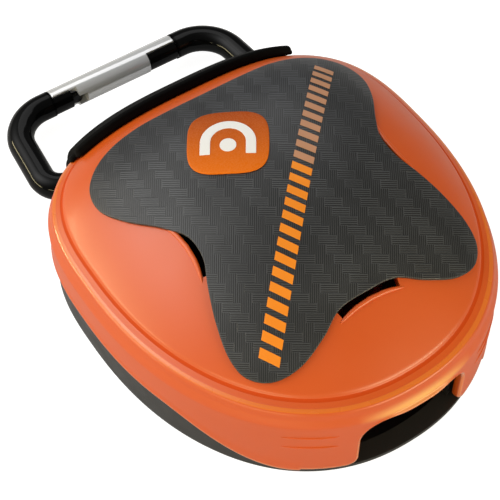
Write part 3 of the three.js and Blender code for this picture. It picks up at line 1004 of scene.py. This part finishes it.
def makeRivet(side, name, node):
    back = rearWallY(rivet["x"]) + leaf["gap"] + leaf["thick"]
    crown = [(rivet["head"] * cos(radians(a)), rivet["dome"] * sin(radians(a)))
             for a in range(0, 91, 10)]
    shank, tail, end = rivet["shank"], rivet["tail"], -rivet["length"]
    stem = [(0, end), (tail, end), (tail, end + 0.6), (shank, end + 0.8), (shank, -0.3)]
    stem.append((rivet["head"], -0.3))
    bm = turned(stem + crown[:-1] + [(0, rivet["dome"])], 48)
    bmesh.ops.rotate(bm, cent=(0, 0, 0), matrix=Matrix.Rotation(-pi / 2, 3, "X"), verts=bm.verts)
    bmesh.ops.translate(bm, vec=(side * rivet["x"], back, rivet["z"]), verts=bm.verts)
    finishPiece(pieceFrom(bm, name), "lid", [node], [steelGrey])


makeRivet(-1, "rivetLeft", "leaf_rivet_left")
makeRivet(1, "rivetRight", "leaf_rivet_right")


def makePin():
    half = leaf["pinHalf"]
    bm = crossRod(-half, half, leaf["hingeY"], leaf["hingeZ"], leaf["pin"], 48, 0.3)
    finishPiece(pieceFrom(bm, "hingePin"), "base", ["hinge_pin"], [steelGrey])


makePin()

# Base: a rounded tray with a lip that stands inside the lid, open low behind the notch.
base = {
    "inset": 0.5, "wall": 1.9, "floor": 2.0, "round": 4.5, "gap": 0.4, "lipInset": 2.6, "lipThick": 1.5,
    "lipTop": 17.0, "lipEndY": 18.0, "turnWall": 16.0, "turnLip": 20.0, "straightFrom": 3.0,
}


def baseProfile():
    outer = caseShape["turnRadius"] - base["inset"]
    r = base["round"]
    arc = [radians(a) for a in range(0, 91, 9)]
    corner = [(outer - r + r * sin(a), r * (1 - cos(a))) for a in arc]
    under = [(outer * k / 8, 0) for k in range(8)]
    wall = [(outer, r + (base["turnWall"] - 0.3 - r) * k / 10) for k in range(1, 11)]
    lipOuter = caseShape["turnRadius"] - base["lipInset"]
    lipInner = lipOuter - base["lipThick"]
    top = base["turnWall"]
    rim = [(outer - 0.1, top - 0.08), (outer - 0.35, top), (lipOuter, top)]
    lip = [(lipOuter, base["turnLip"] - 0.3), (lipOuter - 0.2, base["turnLip"]),
           (lipInner + 0.2, base["turnLip"]), (lipInner, base["turnLip"] - 0.3)]
    inside = [(lipInner, base["turnWall"]), (lipInner, r + 3), (lipInner, r + 1)]
    foot = [(lipInner - 0.4, base["floor"] + 1.6), (lipInner - 1.1, base["floor"] + 0.7),
            (lipInner - 2.6, base["floor"])]
    floor = [(lipInner * (1 - k / 8) - 2.6 * (1 - k / 8), base["floor"]) for k in range(1, 9)]
    return under + corner + wall + rim + lip + inside + foot + floor


def placeBasePoint(co):
    psi = columnFromFront(co)
    phi = psi - pi / 2
    radius = hypot(co.x, co.y)
    scale = radius / caseShape["turnRadius"] * eggRadius(phi)
    x = scale * cos(phi)
    y = scale * sin(phi) + caseShape["middleY"]
    top = partingZ(phi) - base["gap"]
    z = co.z
    low = base["straightFrom"]
    if z > base["turnWall"]:
        clear = smoothstep((abs(x) - lid["notchHalf"] + 0.6) / 0.7) if abs(psi) < 1 else 1.0
        standing = clear * smoothstep((base["lipEndY"] - y) / 1.5)
        share = (z - base["turnWall"]) / (base["turnLip"] - base["turnWall"])
        z = top + share * standing * (base["lipTop"] - top)
    elif z > low:
        z = low + (z - low) / (base["turnWall"] - low) * (top - low)
    return Vector((x, y, z))


# The hinge brackets: a ring for the carabiner with an upright to the hinge pin, from a turned ring.
bracket = {
    "inner": 12.0, "outer": 22.0, "ringY": 51.3, "ringZ": 5.6, "ring": 5.6, "bore": 3.75, "round": 0.5,
    "webFront": 45.8, "webBack": 53.3, "webTop": 11.8, "steps": 144,
}


def bracketReach(angle):
    b = bracket
    cy, cz = cos(angle), sin(angle)
    reach = b["ring"]
    if cz > 0:
        # the upright is as wide as the knuckle at its top
        dy = leaf["hingeY"] - b["ringY"]
        dz = leaf["hingeZ"] - b["ringZ"]
        ahead = dy * cy + dz * cz
        off = abs(dy * cz - dz * cy)
        if off < leaf["knuckle"] and ahead > 0:
            reach = max(reach, ahead + sqrt(leaf["knuckle"] ** 2 - off ** 2))
        limit = b["webFront"] - b["ringY"] if cy < 0 else b["webBack"] - b["ringY"]
        upTo = (b["webTop"] - b["ringZ"]) / cz
        sideways = limit / cy if abs(cy) > 1e-6 else 1e9
        reach = max(reach, min(upTo, sideways))
    return reach


def makeBracket(side):
    b = bracket
    length = b["outer"] - b["inner"]
    r = b["round"]
    outer = b["ring"]
    bore = b["bore"]
    profile = [
        (bore, r), (bore + r, 0), (outer - r, 0), (outer, r), (outer, length - r), (outer - r, length),
        (bore + r, length), (bore, length - r), (bore, r),
    ]
    bm = turned(profile, b["steps"])

    def place(co):
        angle = atan2(co.y, co.x)
        radius = hypot(co.x, co.y)
        grown = bore + (radius - bore) / (outer - bore) * (bracketReach(angle) - bore)
        x = side * (b["inner"] + co.z)
        return Vector((x, b["ringY"] + grown * cos(angle), b["ringZ"] + grown * sin(angle)))

    return bend(bm, place)


def makeBase():
    bm = turned(baseProfile(), caseShape["turnSteps"])
    piece = pieceFrom(bend(bm, placeBasePoint), "baseTray")
    for side in (-1, 1):
        carve(piece, makeBracket(side), "UNION")
    finishPiece(piece, "base", ["base_tray"], [baseGrey])


makeBase()
print("base made")

# Carabiner: a flat loop of round bar, with its gate along the far side.
link = {
    "z": 5.6, "bar": 3.3, "spineY": 51.3, "gateY": 76.6, "spineHalf": 31.7, "gateHalf": 29.4,
    "spineCorner": 6.0, "gateCorner": 9.0, "sleeveHalf": 17.6, "lap": 8.0, "gap": 0.5,
    "lapRadius": 3.1, "eye": 2.2, "tabHalf": 1.2, "slotHalf": 1.5, "spineHandle": 3.3, "gateHandle": 5,
}
pivotX = -link["sleeveHalf"] + 6.2
lapY = link["gateY"] - 1.2


def barLoop():
    k = link
    curve = bpy.data.curves.new("barWay", "CURVE")
    curve.dimensions = "3D"
    curve.bevel_depth = k["bar"]
    curve.bevel_resolution = 10
    curve.resolution_u = 20
    curve.use_fill_caps = True
    spline = curve.splines.new("BEZIER")
    lean = (k["spineHalf"] - k["gateHalf"]) / (k["gateY"] - k["spineY"])

    def armX(y):
        return k["spineHalf"] - lean * (y - k["spineY"])

    y0 = k["spineY"] + k["spineCorner"]
    y1 = k["gateY"] - k["gateCorner"]
    half = [
        ((0, k["spineY"]), (8, 0)),
        ((k["spineHalf"] - k["spineCorner"], k["spineY"]), (k["spineCorner"] * 0.55, 0)),
        ((armX(y0), y0), (-lean * k["spineHandle"], k["spineHandle"])),
        ((armX(y1), y1), (-lean * k["gateHandle"], k["gateHandle"])),
        ((k["gateHalf"] - k["gateCorner"], k["gateY"]), (-k["gateCorner"] * 0.55, 0)),
        ((k["sleeveHalf"] + k["gap"], k["gateY"]), (-1, 0)),
    ]
    points = [((-x, y), (dx, -dy)) for (x, y), (dx, dy) in reversed(half[1:])] + half
    spline.bezier_points.add(len(points) - 1)
    for spot, ((x, y), (dx, dy)) in zip(spline.bezier_points, points):
        spot.co = (x, y, k["z"])
        spot.handle_left = (x - dx, y - dy, k["z"])
        spot.handle_right = (x + dx, y + dy, k["z"])
    holder = showObject("barWay", curve)
    bm = bmesh.new()
    bm.from_mesh(evaluatedMesh(holder))
    bpy.data.objects.remove(holder)
    roundOff(bm, rimEdges(bm), 0.45)
    return bm


# Half of a rod along X, the part with y below the lap's face.
def lapRod(x0, x1, radius):
    bm = crossRod(x0, x1, link["gateY"], link["z"], radius, 64)
    cut = bmesh.ops.bisect_plane(
        bm, geom=everyPart(bm), plane_co=(0, lapY, 0), plane_no=(0, 1, 0), clear_outer=True,
    )
    edges = [item for item in cut["geom_cut"] if isinstance(item, bmesh.types.BMEdge)]
    bmesh.ops.holes_fill(bm, edges=edges)
    return bm


def makeLinkFrame():
    piece = pieceFrom(barLoop(), "carabinerBar")
    k = link
    start = -k["sleeveHalf"] - 2
    carve(piece, lapRod(start, pivotX - 1.4, k["lapRadius"]), "UNION")
    low = (start, k["gateY"] - k["eye"], k["z"] - k["tabHalf"])
    high = (pivotX, k["gateY"] + 1.6, k["z"] + k["tabHalf"])
    carve(piece, softBox(low, high, 0.2, 2), "UNION")
    eyeHalf = k["tabHalf"] + 0.05
    eye = rod((pivotX, k["gateY"], k["z"] - eyeHalf), (pivotX, k["gateY"], k["z"] + eyeHalf), k["eye"], 48)
    carve(piece, eye, "UNION")
    finishPiece(piece, "carabiner", ["carabiner_frame"], [enamelBlack])


def makeGate():
    k = link
    half = k["sleeveHalf"]
    sleeve = crossRod(-half, half, k["gateY"], k["z"], k["bar"], 96, 0.35)
    piece = pieceFrom(sleeve, "gateSleeve")
    low, high = k["z"] - 5, k["z"] + 5
    y0 = k["gateY"] - 9
    slotLow, slotHigh = k["z"] - k["slotHalf"], k["z"] + k["slotHalf"]
    cutters = [
        softBox((-half - 1, y0, low), (pivotX + 0.4, lapY + 0.3, high), 0),
        softBox((half - k["lap"] - 0.3, y0, low), (half + 1, lapY + 0.3, high), 0),
        softBox((-half - 1, y0, slotLow), (pivotX + 2.6, k["gateY"] + 2.5, slotHigh), 0),
    ]
    for tool in cutters:
        carve(piece, tool)
    finishPiece(piece, "gate", ["gate_sleeve"], [gateChrome], 30)


def makeLatchTip():
    start = link["sleeveHalf"] - link["lap"]
    piece = pieceFrom(lapRod(start, link["sleeveHalf"] - 0.2, link["lapRadius"]), "latchTip")
    finishPiece(piece, "gate", ["gate_latch_tip"], [enamelBlack])


makeLinkFrame()
makeGate()
makeLatchTip()
print("carabiner made")

# Mouthguard: an arch-shaped channel with a softer liner.
guard = {
    "half": 25.5, "depth": 40.0, "y": 20.0, "z": 2.6, "width": 12.0, "height": 19.0, "wall": 2.3,
    "endDrop": 5.0, "round": 0.9, "steps": 120,
}


# Sweeps a closed section of (out, up) round the arch, with rounded corners.
def archSweep(section, rounding, drop):
    reach = 30.0
    bm = bmesh.new()
    verts = [bm.verts.new((reach + out, 0, up)) for out, up in section]
    face = bm.faces.new(verts)
    roundOff(bm, face.verts[:], rounding, affect="VERTICES")
    bmesh.ops.spin(
        bm, geom=everyPart(bm), cent=(0, 0, 0), axis=(0, 0, -1), angle=pi,
        steps=guard["steps"], use_merge=False, use_duplicate=False,
    )

    def place(co):
        angle = atan2(co.y, co.x)
        out = hypot(co.x, co.y) - reach
        x = (guard["half"] + out) * cos(angle)
        y = guard["y"] + (guard["depth"] + out) * sin(angle)
        lowered = drop * smoothstep((y - 2) / 9) * max(0.0, co.z) / guard["height"]
        return Vector((x, y, guard["z"] + co.z - lowered))

    return bend(bm, place)


def makeGuard():
    half = guard["width"] / 2
    wall = guard["wall"]
    top = guard["height"]
    section = [(-half, 0), (half, 0), (half, top), (half - wall, top), (half - wall, wall),
               (-half + wall, wall), (-half + wall, top), (-half, top)]
    piece = pieceFrom(archSweep(section, guard["round"], guard["endDrop"]), "guardTray")
    finishPiece(piece, "mouthguard", ["mouthguard_tray"], [guardRubber])
    inner = half - wall - 0.3
    floor = wall + 0.3
    liner = [(-inner, floor), (inner, floor), (inner, top - 3), (1.7, top - 3), (1.7, floor + 2.3),
             (-1.7, floor + 2.3), (-1.7, top - 3), (-inner, top - 3)]
    piece = pieceFrom(archSweep(liner, 0.6, guard["endDrop"] + 2), "guardLiner")
    finishPiece(piece, "mouthguard", ["mouthguard_liner"], [guardGel])


makeGuard()
print("mouthguard made")

# The small carried-over parts inside the gate keep their shape and get a worn steel.
for name in ("gate_rivet", "gate_spring", "gate_plunger"):
    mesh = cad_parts[name].data
    mesh.materials.clear()
    mesh.materials.append(steelGrey)

# Stage: a pale floor, a bright surrounding and soft lights.
stage = {
    "camera": (-107.3, -146.66, 263.8), "aim": (-9.5, 0.0, 24.7), "lens": 100.8, "sensor": 36.0,
    "floorHalf": 3000.0, "floorShade": (0.4, 0.4, 0.4, 1), "floorGlow": 0.93, "floorBounce": 0.2,
    "skyLight": 0.13, "keyFrom": (-0.52, 0.45, 0.72), "keyLight": 3.5, "keySpread": 0.085,
}


def placeCamera():
    data = bpy.data.cameras.new("camera")
    data.lens = stage["lens"]
    data.sensor_width = stage["sensor"]
    data.clip_start = 0.01
    camera = showObject("camera", data)
    place = Vector(stage["camera"])
    look = Vector(stage["aim"]) - place
    camera.matrix_world = Matrix.Translation(place * 0.001) @ pointing(look, "-Z")
    bpy.context.scene.camera = camera


def layFloor():
    bm = bmesh.new()
    bmesh.ops.create_grid(bm, x_segments=2, y_segments=2, size=stage["floorHalf"])
    floor = pieceFrom(bm, "floor")
    floor.data.transform(toMetres)
    material, tree, shader = newMaterial("floorWhite", Roughness=0.9)
    shader.inputs["Base Color"].default_value = stage["floorShade"]
    shader.inputs["Specular IOR Level"].default_value = 0.0
    shader.inputs["Emission Color"].default_value = (1, 1, 1, 1)
    paths = tree.nodes.new("ShaderNodeLightPath")
    glow = calc(tree, "MULTIPLY_ADD", paths.outputs["Is Camera Ray"],
                stage["floorGlow"] - stage["floorBounce"], stage["floorBounce"])
    tree.links.new(glow, shader.inputs["Emission Strength"])
    floor.data.materials.append(material)
    floor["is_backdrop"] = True


def surroundings():
    world = bpy.data.worlds.new("surroundings")
    bpy.context.scene.world = world
    world.use_nodes = True
    tree = world.node_tree
    paths = tree.nodes.new("ShaderNodeLightPath")
    back = tree.nodes["Background"]
    back.inputs["Color"].default_value = (1, 1, 1, 1)
    # a broad glow on one side of the sky: exp((cos(angle) - 1) / spread)
    coordinates = tree.nodes.new("ShaderNodeTexCoord")
    facing = tree.nodes.new("ShaderNodeVectorMath")
    facing.operation = "DOT_PRODUCT"
    tree.links.new(coordinates.outputs["Generated"], facing.inputs[0])
    facing.inputs[1].default_value = Vector(stage["keyFrom"]).normalized()
    away = calc(tree, "DIVIDE", calc(tree, "SUBTRACT", facing.outputs["Value"], 1.0), stage["keySpread"])
    glow = calc(tree, "MULTIPLY_ADD", calc(tree, "EXPONENT", away), stage["keyLight"], stage["skyLight"])
    unseen = calc(tree, "SUBTRACT", 1.0, paths.outputs["Is Camera Ray"])
    strength = calc(tree, "ADD", calc(tree, "MULTIPLY", glow, unseen), paths.outputs["Is Camera Ray"])
    tree.links.new(strength, back.inputs["Strength"])


# Soft lights: what each is aimed at, its direction from there, distance, size, radiance and colour.
lights = {
    "leftStrip": {"at": (0, 5, 25), "from": (-0.87, 0.48, 0.1), "distance": 600, "size": (560, 40),
                  "radiance": 24, "colour": (1, 0.86, 0.5)},
    "cornerStrip": {"at": (0, 5, 25), "from": (-0.78, -0.55, 0.2), "distance": 600, "size": (420, 40),
                    "radiance": 16, "colour": (1, 0.86, 0.5)},
    "frontStrip": {"at": (0, 5, 25), "from": (0.33, -0.86, 0.33), "distance": 620, "size": (420, 80),
                   "radiance": 22, "colour": (1, 0.88, 0.56)},
    "gateCard": {"at": (0, 76, 8), "from": (0.33, 0.4, 0.85), "distance": 170, "size": (170, 90),
                 "radiance": 1.3, "colour": (1, 1, 1)},
}


def hangLights():
    for name, light in lights.items():
        data = bpy.data.lights.new(name, "AREA")
        data.shape = "RECTANGLE"
        data.size, data.size_y = (side * 0.001 for side in light["size"])
        data.color = light["colour"]
        data.energy = light["radiance"] * pi * data.size * data.size_y
        lamp = showObject(name, data)
        direction = Vector(light["from"]).normalized()
        place = (Vector(light["at"]) + direction * light["distance"]) * 0.001
        lamp.matrix_world = Matrix.Translation(place) @ pointing(direction)


placeCamera()
layFloor()
surroundings()
hangLights()
bpy.context.scene.view_settings.view_transform = "Standard"
print("stage set")

boxes = {"cad": cadBox, "visual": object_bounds()}
{name: [list(corner) for corner in box] for name, box in boxes.items()}
